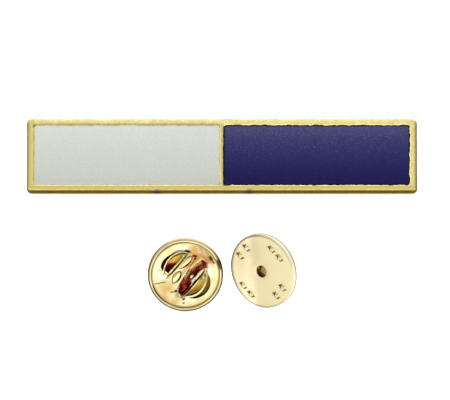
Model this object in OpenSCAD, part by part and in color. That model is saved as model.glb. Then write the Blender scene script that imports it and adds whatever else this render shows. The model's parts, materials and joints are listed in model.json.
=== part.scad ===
// Enamelled ribbon bar that leans on its two posts, with its two butterfly clutches taken off.
// The origin is the middle of the bar's back face. The floor is level and lies below it.

/* [Bar] */
// Length of the bar
bar_length = 60.7; // [45:0.1:75]
// Height of the bar
bar_height = 11.75; // [9:0.05:15]
// Thickness of the bar at its border
bar_thickness = 1.7; // [1.3:0.1:2.5]
// Width of the border at the left end
border_left = 1.1; // [0.7:0.05:1.6]
// Width of the border at the right end
border_right = 1.2; // [0.7:0.05:1.6]
// Width of the border along the top and the bottom
border_long = 1; // [0.7:0.05:1.5]
// Width of the divider between the two fields
divider_width = 0.55; // [0.4:0.05:1]
// Place of the divider along the bar, from its middle
divider_x = -0.25; // [-8:0.05:8]
// Radius of the bar's four corners, seen from the front
corner_radius = 0.5; // [0.3:0.05:1]
// Radius that rounds the front edge of the border
edge_radius = 0.3; // [0.15:0.05:0.5]

/* [Enamel] */
// Depth of the cells below the border
cell_depth = 0.55; // [0.4:0.05:0.8]
// Radius of the inner corners of the cells
cell_corner_radius = 0.3; // [0.2:0.05:0.6]
// How far the enamel lies below the border
enamel_drop = 0.12; // [0.05:0.01:0.2]
// Clearance between the enamel and the walls of its cell
enamel_clearance = 0.03; // [0.02:0.01:0.06]

/* [Posts] */
// Diameter of each post
post_diameter = 1.15; // [1:0.05:1.3]
// Length of each post, from the back of the bar to its tip
post_length = 7.5; // [6:0.1:9]
// Length of the taper at the end of a post
tip_length = 0.9; // [0.6:0.1:1.4]
// Radius of the blunt end of a post
tip_radius = 0.3; // [0.2:0.05:0.4]
// Distance between the two posts
post_spacing = 40; // [25:0.5:41]
// Radius of the solder pad round the foot of a post
pad_radius = 1.3; // [1:0.1:1.8]
// Height of the solder pad
pad_height = 0.2; // [0.15:0.05:0.4]

/* [Clutch cap] */
// Outer diameter of a clutch
clutch_diameter = 11.5; // [10.8:0.1:13]
// Thickness of the cap's sheet and radius of its rolled edges
cap_sheet = 0.3; // [0.25:0.01:0.35]
// Height of the cap, from its front disc to the top of its rolled bead
cap_height = 1.35; // [1.3:0.05:1.7]
// Thickness of the lip that is folded over the spring plate
lip_sheet = 0.22; // [0.18:0.01:0.28]
// How far the folded lip covers the edge of the spring plate
lip_hold = 0.2; // [0.15:0.05:0.5]
// Diameter of the hole in the front disc
cap_hole_diameter = 1.8; // [1.5:0.05:2.2]
// Distance of the nibs from the middle of the cap
nib_distance = 4.3; // [3.9:0.05:4.5]
// Width of a nib at its foot
nib_width = 0.95; // [0.6:0.05:1.1]
// Height of a nib above the front disc
nib_height = 0.32; // [0.2:0.02:0.4]
// Angle between the two nibs of a pair
nib_pair_angle = 24.5; // [20:0.5:30]
// Angle of the first pair of nibs
nib_start_angle = 45; // [0:1:90]

/* [Spring plate] */
// Thickness of the spring sheet
spring_sheet = 0.25; // [0.2:0.01:0.3]
// Clearance between the spring plate and the rolled edge round it
plate_clearance = 0.12; // [0.08:0.01:0.2]
// Height of the wings above the lip
wing_rise = 1.5; // [1:0.05:2.2]
// Distance of a wing's inner wall from the middle
wing_wall_x = 1.95; // [1.8:0.05:2.1]
// How far a wing's outer wall flares out from its foot to its top
wing_flare = 0.3; // [0.1:0.05:0.4]
// Radius of a wing's outer wall at its foot, seen along the axis of the clutch
wing_foot_radius = 3.45; // [3.3:0.05:3.6]
// Width of the crescent opening in the plate outside a wing
crescent_gap = 0.75; // [0.5:0.05:0.9]
// Width of the slit between the two jaws
slit_width = 0.14; // [0.1:0.02:0.2]
// Diameter of the round eye of the slit that grips the post
jaw_hole_diameter = 0.5; // [0.4:0.05:0.8]
// Angle of the slit and jaws to the walls of the wings
jaw_slant = 10; // [0:1:14]
// Length of one bulge of a jaw
bulge_length = 2.3; // [1.8:0.1:2.5]
// Width of one bulge of a jaw
bulge_width = 1.2; // [0.8:0.05:1.4]

/* [Layout] */
// Place of the gap between the two clutches along the bar, from its middle
clutch_gap_x = 0.7; // [-10:0.1:10]
// Width of the gap between the two clutches, seen from the front
clutch_gap = 1; // [0.8:0.1:6]
// Distance of the left clutch in front of the bar's lower edge
left_clutch_ahead = 60.5; // [25:0.1:90]
// Distance of the right clutch in front of the bar's lower edge
right_clutch_ahead = 59.8; // [25:0.1:90]
// Turn of the left clutch about its own axis
left_clutch_roll = -40; // [-180:1:180]
// Turn of the right clutch about its own axis
right_clutch_roll = -7; // [-180:1:180]
// Angle by which the right clutch faces to the left
right_clutch_yaw = 34; // [0:1:45]

/* [Hidden] */
$fn = 96;
// Overlap that lets cuts run through and joined forms meet
cut = 0.1;

// The bar stands on its lower back edge and on the lower rims of its two tips
lean = atan2(post_length, bar_height / 2 - tip_radius);
floor_z = -bar_height / 2 * sin(lean);
edge_y = -bar_height / 2 * cos(lean);

cell_floor = bar_thickness - cell_depth;
cell_height = bar_height - 2 * border_long;
white_left = -bar_length / 2 + border_left;
white_right = divider_x - divider_width / 2;
blue_left = divider_x + divider_width / 2;
blue_right = bar_length / 2 - border_right;

clutch_radius = clutch_diameter / 2;
roll_radius = clutch_radius - cap_sheet;
bead_z = cap_height - cap_sheet;
// How far the lower face of the lip lies below the middle of the bead
lip_drop = 0.05;
lip_bottom = bead_z - lip_drop;
lip_top = lip_bottom + lip_sheet;
nib_top_width = 0.19;

plate_radius = roll_radius - cap_sheet - plate_clearance;
lip_radius = plate_radius - lip_hold;
plate_bottom = lip_bottom - spring_sheet;
wing_top = lip_top + wing_rise;
window_radius = wing_foot_radius + crescent_gap;
// Half length of the opening in the plate under a wing
void_half = 0.7 * wing_foot_radius;
// The tops of the wings follow an arch that reaches the plate past the ends of that opening
arch_half = 0.88 * wing_foot_radius;
arch_rise = wing_top - lip_bottom;
// Turn of a wing's outer wall to each side, before the arch trims it
wing_turn = 60;
arch_radius = (arch_half * arch_half + arch_rise * arch_rise) / (2 * arch_rise);
slit_half = 0.75 * window_radius;
bulge_radius = (bulge_length * bulge_length / 4 + bulge_width * bulge_width / 4) / bulge_width;
bulge_x = wing_wall_x / 2;
bulge_y = 0.34 * window_radius;
notch_radius = 1.4 * slit_width;

left_clutch_x = clutch_gap_x - clutch_gap / 2 - clutch_radius;
right_clutch_x = clutch_gap_x + clutch_gap / 2 + clutch_radius * cos(right_clutch_yaw);

// Rectangle with rounded corners between two opposite corner points
module rounded_field(low, high, radius) {
    translate([low.x + radius, low.y])
        square([high.x - low.x - 2 * radius, high.y - low.y]);
    translate([low.x, low.y + radius])
        square([high.x - low.x, high.y - low.y - 2 * radius]);
    for (x = [low.x + radius, high.x - radius], y = [low.y + radius, high.y - radius])
        translate([x, y])
            circle(radius);
}

// Long section whose two front corners are rounded, centred across its width
module rounded_section(width) {
    translate([-width / 2, 0])
        square([width, bar_thickness - edge_radius]);
    translate([-width / 2 + edge_radius, 0])
        square([width - 2 * edge_radius, bar_thickness]);
    for (side = [-1, 1])
        translate([side * (width / 2 - edge_radius), bar_thickness - edge_radius])
            circle(edge_radius);
}

// Plate of the bar with its rounded corners and its rounded front edge
module bar_blank() {
    intersection() {
        linear_extrude(bar_thickness)
            rounded_field([-bar_length / 2, -bar_height / 2], [bar_length / 2, bar_height / 2], corner_radius);
        rotate([90, 0, 0])
            translate([0, 0, -bar_height])
                linear_extrude(2 * bar_height)
                    rounded_section(bar_length);
        rotate([90, 0, 90])
            translate([0, 0, -bar_length])
                linear_extrude(2 * bar_length)
                    rounded_section(bar_height);
    }
}

// Outline of one cell, made smaller all round by the inset
module cell_outline(left, right, inset) {
    rounded_field(
        [left + inset, -cell_height / 2 + inset],
        [right - inset, cell_height / 2 - inset],
        cell_corner_radius
    );
}

// Post with its solder pad and its tapered tip, from the back of the bar outwards
module post() {
    translate([0, 0, -pad_height])
        cylinder(r = pad_radius, h = pad_height + cut);
    translate([0, 0, -post_length + tip_length])
        cylinder(d = post_diameter, h = post_length - tip_length + cut);
    translate([0, 0, -post_length])
        cylinder(r1 = tip_radius, r2 = post_diameter / 2, h = tip_length);
}

module in_bar_place() {
    rotate([lean, 0, 0])
        children();
}

module bar_frame() {
    color("#d9c884")
        in_bar_place() {
            difference() {
                bar_blank();
                translate([0, 0, cell_floor])
                    linear_extrude(cell_depth + cut) {
                        cell_outline(white_left, white_right, 0);
                        cell_outline(blue_left, blue_right, 0);
                    }
            }
            for (side = [-1, 1])
                translate([side * post_spacing / 2, 0, 0])
                    post();
        }
}

// Enamel that fills one cell and seats on its floor
module enamel_fill(left, right) {
    in_bar_place()
        translate([0, 0, cell_floor])
            linear_extrude(cell_depth - enamel_drop)
                cell_outline(left, right, enamel_clearance);
}

module white_enamel() {
    color("#ced1c8")
        enamel_fill(white_left, white_right);
}

module blue_enamel() {
    color("#2d2a5e")
        enamel_fill(blue_left, blue_right);
}

// Half section of the cap: disc, rounded front edge, rim, rolled bead and folded lip
module cap_section() {
    translate([cap_hole_diameter / 2, 0])
        square([roll_radius - cap_hole_diameter / 2, cap_sheet]);
    translate([roll_radius, cap_sheet])
        square([cap_sheet, bead_z - cap_sheet]);
    translate([lip_radius, lip_bottom])
        square([roll_radius - lip_radius, lip_sheet]);
    for (z = [cap_sheet, bead_z])
        translate([roll_radius, z])
            circle(cap_sheet);
}

// Pressed nib with four sloping sides and a blunt top, that stands out of the front disc
module nib() {
    rotate([180, 0, 45])
        translate([0, 0, -cut])
            cylinder(d1 = nib_width * sqrt(2), d2 = nib_top_width, h = nib_height + cut, $fn = 4);
}

// Cap with its front disc at height 0 and its lip towards the wings
module clutch_cap() {
    color("#e8d494") {
        rotate_extrude()
            cap_section();
        for (quarter = [0:3], side = [-1, 1])
            rotate(nib_start_angle + 90 * quarter + side * nib_pair_angle / 2)
                translate([nib_distance, 0, 0])
                    nib();
    }
}

// Opening in the plate under one wing, which shows as its eye and as the crescent outside it
module wing_void() {
    intersection() {
        circle(window_radius);
        translate([wing_wall_x + spring_sheet / 2, -void_half])
            square([window_radius, 2 * void_half]);
    }
}

// Flat plate with its openings, its slanted slit and the round eye that grips the post
module plate_outline() {
    difference() {
        circle(plate_radius);
        wing_void();
        mirror([1, 0])
            wing_void();
        rotate(jaw_slant) {
            square([slit_width, 2 * slit_half], center = true);
            circle(d = jaw_hole_diameter);
            for (side = [-1, 1])
                translate([0, side * slit_half])
                    circle(notch_radius);
        }
    }
}

// One wing: a straight inner wall and a flared outer wall under a common arch
module wing() {
    intersection() {
        union() {
            translate([wing_wall_x - spring_sheet / 2, -arch_half, plate_bottom])
                cube([spring_sheet, 2 * arch_half, wing_top - plate_bottom]);
            rotate(-wing_turn)
                rotate_extrude(angle = 2 * wing_turn)
                    polygon([
                        [wing_foot_radius - spring_sheet, plate_bottom],
                        [wing_foot_radius, plate_bottom],
                        [wing_foot_radius + wing_flare, wing_top],
                        [wing_foot_radius + wing_flare - spring_sheet, wing_top]
                    ]);
        }
        translate([0, 0, wing_top - arch_radius])
            rotate([0, 90, 0])
                cylinder(r = arch_radius, h = clutch_radius);
    }
}

// Lens-shaped bulge of a jaw, pressed up from the plate
module bulge() {
    rotate([90, 0, 0])
        rotate_extrude()
            intersection() {
                translate([bulge_width / 2 - bulge_radius, 0])
                    circle(bulge_radius);
                translate([0, -bulge_length])
                    square([bulge_width, 2 * bulge_length]);
            }
}

// The bulges grow out of the middle of the plate and end above its lower face
module jaw_bulges() {
    intersection() {
        rotate(jaw_slant / 2)
            for (x = [-bulge_x, bulge_x], y = [-bulge_y, bulge_y])
                translate([x, y, plate_bottom + spring_sheet / 2])
                    bulge();
        translate([0, 0, plate_bottom + spring_sheet / 4])
            cylinder(r = lip_radius, h = arch_rise);
    }
}

// Spring plate held under the lip of the cap
module clutch_wings() {
    color("#dcbf70") {
        translate([0, 0, plate_bottom])
            linear_extrude(spring_sheet)
                plate_outline();
        jaw_bulges();
        for (turn = [0, 180])
            rotate(turn)
                wing();
    }
}

// The clutches stand on their flat rims. The left one shows its wings.
module in_left_clutch_place() {
    translate([left_clutch_x, edge_y - left_clutch_ahead, floor_z + clutch_radius])
        rotate([90, 0, 0])
            rotate(left_clutch_roll)
                children();
}

// The right one shows its front disc.
module in_right_clutch_place() {
    translate([right_clutch_x, edge_y - right_clutch_ahead, floor_z + clutch_radius])
        rotate([90, 0, 180 - right_clutch_yaw])
            rotate(right_clutch_roll)
                children();
}

module left_clutch_cap() {
    in_left_clutch_place()
        clutch_cap();
}

module left_clutch_wings() {
    in_left_clutch_place()
        clutch_wings();
}

module right_clutch_cap() {
    in_right_clutch_place()
        clutch_cap();
}

module right_clutch_wings() {
    in_right_clutch_place()
        clutch_wings();
}

bar_frame();
white_enamel();
blue_enamel();
left_clutch_cap();
left_clutch_wings();
right_clutch_cap();
right_clutch_wings();
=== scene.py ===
import json
from math import asin, atan2, cos, exp, pi, radians, sin, sqrt, tan

import bmesh
import bpy
from mathutils import Matrix, Vector, noise


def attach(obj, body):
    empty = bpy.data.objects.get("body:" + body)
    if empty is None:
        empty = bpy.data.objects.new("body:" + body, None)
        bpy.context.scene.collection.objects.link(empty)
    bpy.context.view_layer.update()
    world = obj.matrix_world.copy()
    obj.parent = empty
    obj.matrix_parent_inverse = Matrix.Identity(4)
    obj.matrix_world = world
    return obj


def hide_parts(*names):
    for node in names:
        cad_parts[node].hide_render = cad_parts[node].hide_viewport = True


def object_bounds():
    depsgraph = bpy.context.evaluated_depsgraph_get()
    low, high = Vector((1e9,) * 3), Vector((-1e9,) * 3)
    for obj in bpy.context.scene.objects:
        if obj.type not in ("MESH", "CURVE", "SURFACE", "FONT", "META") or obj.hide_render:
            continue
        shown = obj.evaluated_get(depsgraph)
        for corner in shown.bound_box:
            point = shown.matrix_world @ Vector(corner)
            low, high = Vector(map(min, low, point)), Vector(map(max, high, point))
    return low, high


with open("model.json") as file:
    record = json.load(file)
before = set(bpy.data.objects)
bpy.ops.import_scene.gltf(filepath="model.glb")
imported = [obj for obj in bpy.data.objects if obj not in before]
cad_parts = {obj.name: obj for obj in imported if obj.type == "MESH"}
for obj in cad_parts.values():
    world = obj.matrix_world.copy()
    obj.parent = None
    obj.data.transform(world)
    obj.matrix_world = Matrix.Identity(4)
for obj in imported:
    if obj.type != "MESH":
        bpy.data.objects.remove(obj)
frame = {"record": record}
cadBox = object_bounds()
mm = 0.001  # sizes below are in millimetres and angles in degrees

# The bar stands on its lower back edge and its two posts. Its back mount says how far it leans.
mounts = {m["name"]: m for m in frame["record"]["mounts"]}
backAxis = Vector(mounts["back"]["axis"])
lean = atan2(backAxis.y, -backAxis.z)
floorZ = cadBox[0].z / mm


# Nodes and colours

# sRGB hex to linear
def hexColour(code):
    parts = [int(code[i:i + 2], 16) / 255 for i in (1, 3, 5)]
    return tuple(c / 12.92 if c <= 0.04045 else ((c + 0.055) / 1.055) ** 2.4 for c in parts) + (1.0,)


def addNode(tree, kind, inputs=None, **settings):
    node = tree.nodes.new(kind)
    for name, value in settings.items():
        setattr(node, name, value)
    for socket, value in (inputs or {}).items():
        if isinstance(value, bpy.types.NodeSocket):
            tree.links.new(value, node.inputs[socket])
        else:
            node.inputs[socket].default_value = value
    return node


def newMaterial(name):
    material = bpy.data.materials.new(name)
    material.use_nodes = True
    material.node_tree.nodes.clear()
    return material, material.node_tree


# Noise whose cells are size millimetres
def addNoise(tree, place, size, detail, **extra):
    inputs = {"Vector": place, "Scale": 1 / (size * mm), "Detail": detail} | extra
    return addNode(tree, "ShaderNodeTexNoise", inputs).outputs["Fac"]


# Mask painted on the mesh
def addMask(tree, layer):
    return addNode(tree, "ShaderNodeAttribute", attribute_name=layer).outputs["Fac"]


def addMix(tree, factor, first, second):
    node = addNode(tree, "ShaderNodeMix", {"Factor": factor, "A": first, "B": second}, data_type="RGBA")
    return node.outputs["Result"]


def addBump(tree, height, distance, strength):
    inputs = {"Height": height, "Distance": distance * mm, "Strength": strength}
    return addNode(tree, "ShaderNodeBump", inputs).outputs["Normal"]


def addSurface(tree, inputs):
    shader = addNode(tree, "ShaderNodeBsdfPrincipled", inputs)
    addNode(tree, "ShaderNodeOutputMaterial", {"Surface": shader.outputs["BSDF"]})


# Colour ramp over a source, from stops of (position, colour) in rising order
def gradient(tree, source, stops):
    node = addNode(tree, "ShaderNodeValToRGB", {"Fac": source})
    made = node.color_ramp.elements
    for place, colour in stops[1:-1]:
        made.new(place).color = colour
    made[0].position, made[0].color = stops[0]
    made[len(stops) - 1].position, made[len(stops) - 1].color = stops[-1]
    return node.outputs["Color"]


def ramp(tree, source, low, high, lowColour, highColour):
    return gradient(tree, source, [(low, lowColour), (high, highColour)])


def grey(level):
    return (level, level, level, 1.0)


# Die-struck brass under thin satin gilding: soft uneven sheen on the border, painted shade as dull grey-brown
# on the flanks, in the cell corners and on the divider, painted shade as deeper gold on the lower border and
# the left end, and two purple specks of spilt enamel
def makeStruckBrass():
    look = {
        "bright": "#F9F0AA", "plain": "#E9DA8A", "dull": "#B8A262", "edgeShade": "#6E6044", "corner": "#6E6438",
        "deep": "#CDBA68",
        "mottle": 1.1, "grain": 0.16, "roughness": (0.2, 0.4), "bump": 0.03, "edge": "#4A4028",
        "stain": "#4A3C78",
    }
    material, tree = newMaterial("satinGiltBrass")
    place = addNode(tree, "ShaderNodeTexCoord").outputs["Object"]
    mottle = addNoise(tree, place, look["mottle"], 4.0, Roughness=0.65)
    grain = addNoise(tree, place, look["grain"], 2.0)
    colour = ramp(tree, mottle, 0.38, 0.62, hexColour(look["plain"]), hexColour(look["bright"]))
    dull = ramp(tree, grain, 0.3, 0.46, grey(0.5), grey(0.0))
    colour = addMix(tree, dull, colour, hexColour(look["dull"]))
    # the deeper gold, the corner lines and the flanks are painted shade; the stains are spilt enamel
    for layer in ("deep", "corner", "edgeShade", "stain"):
        colour = addMix(tree, addMask(tree, layer), colour, hexColour(look[layer]))
    low, high = look["roughness"]
    addSurface(tree, {
        "Base Color": colour, "Metallic": 1.0,
        "Roughness": ramp(tree, mottle, 0.3, 0.7, grey(high), grey(low)),
        "Normal": addBump(tree, grain, look["bump"], 0.6), "Specular Tint": hexColour(look["edge"])})
    return material


# Gilt sheet brass: mirror-like with faint smudges and hairlines from tumbling. Its marks lie as masks on the
# mesh: tan, which is thin gilding and on a cap's disc painted shade; red-brown tarnish with painted shade in
# hollows;
# painted highlights of white; and dark dirt with painted shade along edges and gaps.
def makeGilt(name, look):
    material, tree = newMaterial(name)
    place = addNode(tree, "ShaderNodeTexCoord").outputs["Object"]
    smudge = addNoise(tree, place, look["smudge"], 3.0)
    hair = addNoise(tree, place, look["hair"], 3.0, Distortion=0.4)
    patch = addNoise(tree, place, look["patch"], 3.0)
    colour = ramp(tree, smudge, 0.35, 0.65, hexColour(look["deep"]), hexColour(look["pale"]))
    tarnishAndShadeColour = ramp(tree, patch, 0.45, 0.62, hexColour(look["red"]), hexColour(look["brown"]))
    worn = {"tan": hexColour(look["tan"]), "tarnishAndShade": tarnishAndShadeColour}
    worn |= {layer: hexColour(look[layer]) for layer in ("paintedHighlight", "dirtAndShade")}
    for layer, shade in worn.items():
        colour = addMix(tree, addMask(tree, layer), colour, shade)
    low, high = look["roughness"]
    addSurface(tree, {
        "Base Color": colour, "Metallic": 1.0,
        "Roughness": ramp(tree, smudge, 0.3, 0.7, grey(low), grey(high)),
        "Normal": addBump(tree, hair, look["bump"], 0.5), "Specular Tint": hexColour(look["edge"])})
    return material


# Soft enamel: baked paint in a satin skin, with fine specks, pin holes and a faint orange peel.
# Painted light: the colour grows lighter towards the upper border, and the specks thicken there too.
def makeSoftEnamel(name, look):
    material, tree = newMaterial(name)
    place = addNode(tree, "ShaderNodeTexCoord").outputs["Object"]
    height = addNode(tree, "ShaderNodeSeparateXYZ", {"Vector": place}).outputs["Z"]
    cloud = addNoise(tree, place, look["cloud"], 3.0)
    speck = addNoise(tree, place, look["speck"], 1.0)
    pin = addNoise(tree, place, look["pin"], 1.0)
    peel = addNoise(tree, place, look["peel"], 2.0)
    # painted light: the colour ramp runs from dark at the bottom to light at the top
    low, high = look["paintedTopLightFrom"]
    rise = addNode(tree, "ShaderNodeMapRange", {
        "Value": height, "From Min": low * mm, "From Max": high * mm}).outputs["Result"]
    drift = addNode(tree, "ShaderNodeMath", {
        0: cloud, 1: look["drift"], 2: rise}, operation="MULTIPLY_ADD").outputs["Value"]
    colour = gradient(tree, drift, [(t + 0.5 * look["drift"], hexColour(code)) for t, code in look["paintedTopLight"]])
    spots = ramp(tree, speck, 0.58, 0.72, grey(0.0), grey(1.0))
    amount = addNode(tree, "ShaderNodeMapRange", {
        "Value": rise, "From Min": 0.3, "To Min": look["speckLow"], "To Max": look["speckHigh"]})
    spotted = addNode(tree, "ShaderNodeMath", {0: spots, 1: amount.outputs["Result"]}, operation="MULTIPLY")
    colour = addMix(tree, spotted.outputs["Value"], colour, hexColour(look["speckColour"]))
    holes = ramp(tree, pin, 0.68, 0.75, grey(0.0), grey(look["pinAmount"]))
    colour = addMix(tree, holes, colour, hexColour(look["pinColour"]))
    # painted shade: a thin darker line where the paint meets the metal
    colour = addMix(tree, addMask(tree, "rim"), colour, hexColour(look["rim"]))
    addSurface(tree, {
        "Base Color": colour, "Roughness": look["roughness"], "IOR": 1.5,
        "Specular IOR Level": look["gloss"], "Normal": addBump(tree, peel, look["bump"], 0.5)})
    return material


struckBrass = makeStruckBrass()
# Gilt colours: the near-white one is a painted highlight, the dark one paints dirt and shade, and the red and
# brown paint tarnish with shade in hollows.
giltLook = {
    "pale": "#D8CD9C", "deep": "#C8B988", "tan": "#A87A3E", "red": "#3E0908", "brown": "#7C2C1A",
    "paintedHighlight": "#FFFDF6", "dirtAndShade": "#40361F", "edge": "#3C3420",
    "smudge": 2.4, "hair": 0.25, "patch": 0.6, "roughness": (0.05, 0.12), "bump": 0.003,
}
# Rim, lip and nibs of a cap: tumbled to a mirror, with the same tan of painted shade as the disc
polishedGilt = makeGilt("polishedGilt", giltLook | {"tan": "#C4B88C"})
# Spring plate: a mirror too, in the paler gold of its alloy
springLook = giltLook | {"pale": "#DACFA4", "deep": "#CDBF88", "dirtAndShade": "#120600"}
springGilt = makeGilt("springGilt", springLook)
# Walls of the wings: dulled by fingers
wingGilt = makeGilt("wingGilt", springLook | {"pale": "#E0D6AA", "deep": "#D3C58E", "roughness": (0.3, 0.42)})
# Inside of a cap: rough bare brass of a strong yellow, which tumbling doesn't reach
insideGilt = makeGilt("insideGilt", giltLook | {
    "pale": "#F0CC60", "deep": "#E0AE3A", "dirtAndShade": "#0C0602", "edge": "#5A3008", "roughness": (0.35, 0.5)})
# Disc and side of a cap: satin, so that they mirror nothing sharp; its tan is painted shade on one side of
# the disc
satinGilt = makeGilt("satinGilt", giltLook | {
    "pale": "#F3E7CA", "deep": "#ECE0BE", "tan": "#D0C5A0", "edge": "#8A7C50", "roughness": (0.5, 0.56)})
# Pits beside the nibs: a dark gilt as painted shade
pitShade = makeGilt("paintedPitShade", giltLook | {
    "pale": "#A8904C", "deep": "#6A5628", "tan": "#86703A", "edge": "#2E2010",
    "smudge": 0.2, "roughness": (0.3, 0.5)})
# Each enamel's colour stops run from the dark bottom to the light top: painted light
whiteEnamelPaint = makeSoftEnamel("whiteSoftEnamel", {
    "paintedTopLight": [(0.0, "#ADAFA7"), (0.2, "#B1B4AB"), (0.5, "#B5B8B1"), (1.0, "#BDBFBA")],
    "paintedTopLightFrom": (-3.1, 4.9), "drift": 0.12, "rim": "#BCB9A6", "cloud": 5.0,
    "speck": 0.16, "speckLow": 0.25, "speckHigh": 0.4, "speckColour": "#E4E6E2",
    "pin": 0.3, "pinAmount": 0.25, "pinColour": "#9A9C90", "peel": 0.3, "bump": 0.004,
    "roughness": 0.42, "gloss": 0.3})
blueEnamelPaint = makeSoftEnamel("navySoftEnamel", {
    "paintedTopLight": [(0.0, "#0E0B3F"), (0.25, "#181649"), (0.5, "#212253"), (0.77, "#2F2F5B"), (1.0, "#3E3C62")],
    "paintedTopLightFrom": (-3.1, 4.9), "drift": 0.1, "rim": "#0E0C26", "cloud": 5.0,
    "speck": 0.15, "speckLow": 0.05, "speckHigh": 0.4, "speckColour": "#7A7898",
    "pin": 0.25, "pinAmount": 0.4, "pinColour": "#15123A", "peel": 0.25, "bump": 0.006,
    "roughness": 0.42, "gloss": 0.08})
print("materials made")


# Mesh helpers

def everything(bm):
    return bm.verts[:] + bm.edges[:] + bm.faces[:]


def cutAt(bm, points, direction):
    for point in points:
        bmesh.ops.bisect_plane(bm, geom=everything(bm), plane_co=point, plane_no=direction)


# Even places between two limits, about one size apart and without the limits
def steps(low, high, size):
    count = max(1, round((high - low) / size))
    return [low + (high - low) * i / count for i in range(1, count)]


def bevelEdges(bm, edges, offset, segments):
    bmesh.ops.bevel(
        bm, geom=edges, offset=offset, segments=segments, profile=0.5, affect="EDGES", material=-1,
        offset_type="OFFSET")


# Turns a section of (radius, height) points round the Z axis
def spinSection(bm, section, count, closed):
    verts = [bm.verts.new((r, 0, z)) for r, z in section]
    pairs = list(zip(verts, verts[1:])) + ([(verts[-1], verts[0])] if closed else [])
    edges = [bm.edges.new(pair) for pair in pairs]
    bmesh.ops.spin(
        bm, geom=verts + edges, cent=(0, 0, 0), axis=(0, 0, 1), angle=2 * pi, steps=count, use_merge=True)
    bmesh.ops.remove_doubles(bm, verts=bm.verts[:], dist=0.0005)


# Points of a round stretch of a section
def arc(centreR, centreZ, radius, start, end, count):
    turns = [radians(start + (end - start) * i / count) for i in range(count + 1)]
    return [(centreR + radius * cos(t), centreZ + radius * sin(t)) for t in turns]


def wave(x, y, size, seed):
    return noise.noise(Vector((x / size, y / size, seed)))


def smoothStep(low, high, value):
    t = min(1, max(0, (value - low) / (high - low)))
    return t * t * (3 - 2 * t)


# Runs modifiers on a bmesh and gives their result as a new bmesh
def withModifiers(bm, *modifiers):
    mesh = bpy.data.meshes.new("raw")
    bm.to_mesh(mesh)
    bm.free()
    raw = bpy.data.objects.new("raw", mesh)
    bpy.context.scene.collection.objects.link(raw)
    for kind, settings in modifiers:
        modifier = raw.modifiers.new(kind.lower(), kind)
        for name, value in settings.items():
            setattr(modifier, name, value)
    shaped = raw.evaluated_get(bpy.context.evaluated_depsgraph_get())
    made = bmesh.new()
    made.from_mesh(shaped.to_mesh())
    shaped.to_mesh_clear()
    bpy.data.objects.remove(raw)
    bpy.data.meshes.remove(mesh)
    return made


# Adds a placed shape to another one
def addShape(bm, shape, place, material=0):
    shape.transform(place)
    for f in shape.faces:
        f.material_index = material
    mesh = bpy.data.meshes.new("shape")
    shape.to_mesh(mesh)
    shape.free()
    bm.from_mesh(mesh)
    bpy.data.meshes.remove(mesh)


# Sets a finished shape in its place, rides it on the root and lets it stand for its node
def finishPiece(name, bm, place, material, node, sharp=40):
    bmesh.ops.recalc_face_normals(bm, faces=bm.faces[:])
    bm.transform(Matrix.Scale(mm, 4) @ place)
    mesh = bpy.data.meshes.new(name)
    bm.to_mesh(mesh)
    bm.free()
    mesh.shade_smooth()
    mesh.set_sharp_from_angle(angle=radians(sharp))
    mesh.materials.append(material)
    piece = bpy.data.objects.new(name, mesh)
    bpy.context.scene.collection.objects.link(piece)
    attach(piece, "root")
    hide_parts(node)
    return piece


# The struck bar, built lying on its back: X along it, Y up its height, Z out of its face

bar = {
    "length": 60.7, "height": 11.9, "rise": 0.075, "thickness": 1.7,
    "borderLeft": 1.1, "borderRight": 1.15, "borderLong": 0.97, "cellDrop": 0.1,
    "dividerWidth": 0.58, "dividerX": -0.04,
    "cornerRadius": 0.75, "edgeRadius": 0.36, "backRadius": 0.06,
    "cellDepth": 0.55, "cellCorner": 0.3, "wallSlope": 0.16, "rimRadius": 0.14,
    # where the painted shade on the rounded flanks fades out
    "edgeShadeEnds": (0.18, 0.46), "edgeShadeLow": (0.0, 0.26), "edgeShadeTop": (0.06, 0.32),
    # where the painted shade of deeper gold at the ends and on the lower border fades in
    "shadedEnds": (28.9, 29.4), "shadedLow": (-5.1, -5.35),
    "stains": (-10.1, 4.2), "stainWidth": 0.45, "stainHeight": 0.22, "ragged": 0.16, "raggedSize": 0.5,
    "mesh": 0.33, "wander": 0.022, "wanderSize": 1.3, "sag": 0.02, "sagSize": 2.2,
}
barPlace = Matrix.Rotation(lean, 4, "X") @ Matrix.Translation((0, bar["rise"], 0))
halfLength, halfHeight = bar["length"] / 2, bar["height"] / 2
cellHalf, cellY = halfHeight - bar["borderLong"], -bar["cellDrop"]
cellFloor = bar["thickness"] - bar["cellDepth"]
cells = {
    "white": (-halfLength + bar["borderLeft"], bar["dividerX"] - bar["dividerWidth"] / 2),
    "blue": (bar["dividerX"] + bar["dividerWidth"] / 2, halfLength - bar["borderRight"]),
}
post = {
    "diameter": 1.15, "length": 7.5, "tip": 0.9, "tipRadius": 0.3, "spacing": 40,
    "padRadius": 1.3, "padHeight": 0.2,
}


def isAt(edge, z):
    return all(abs(v.co.z - z) < 0.001 for v in edge.verts)


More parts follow.
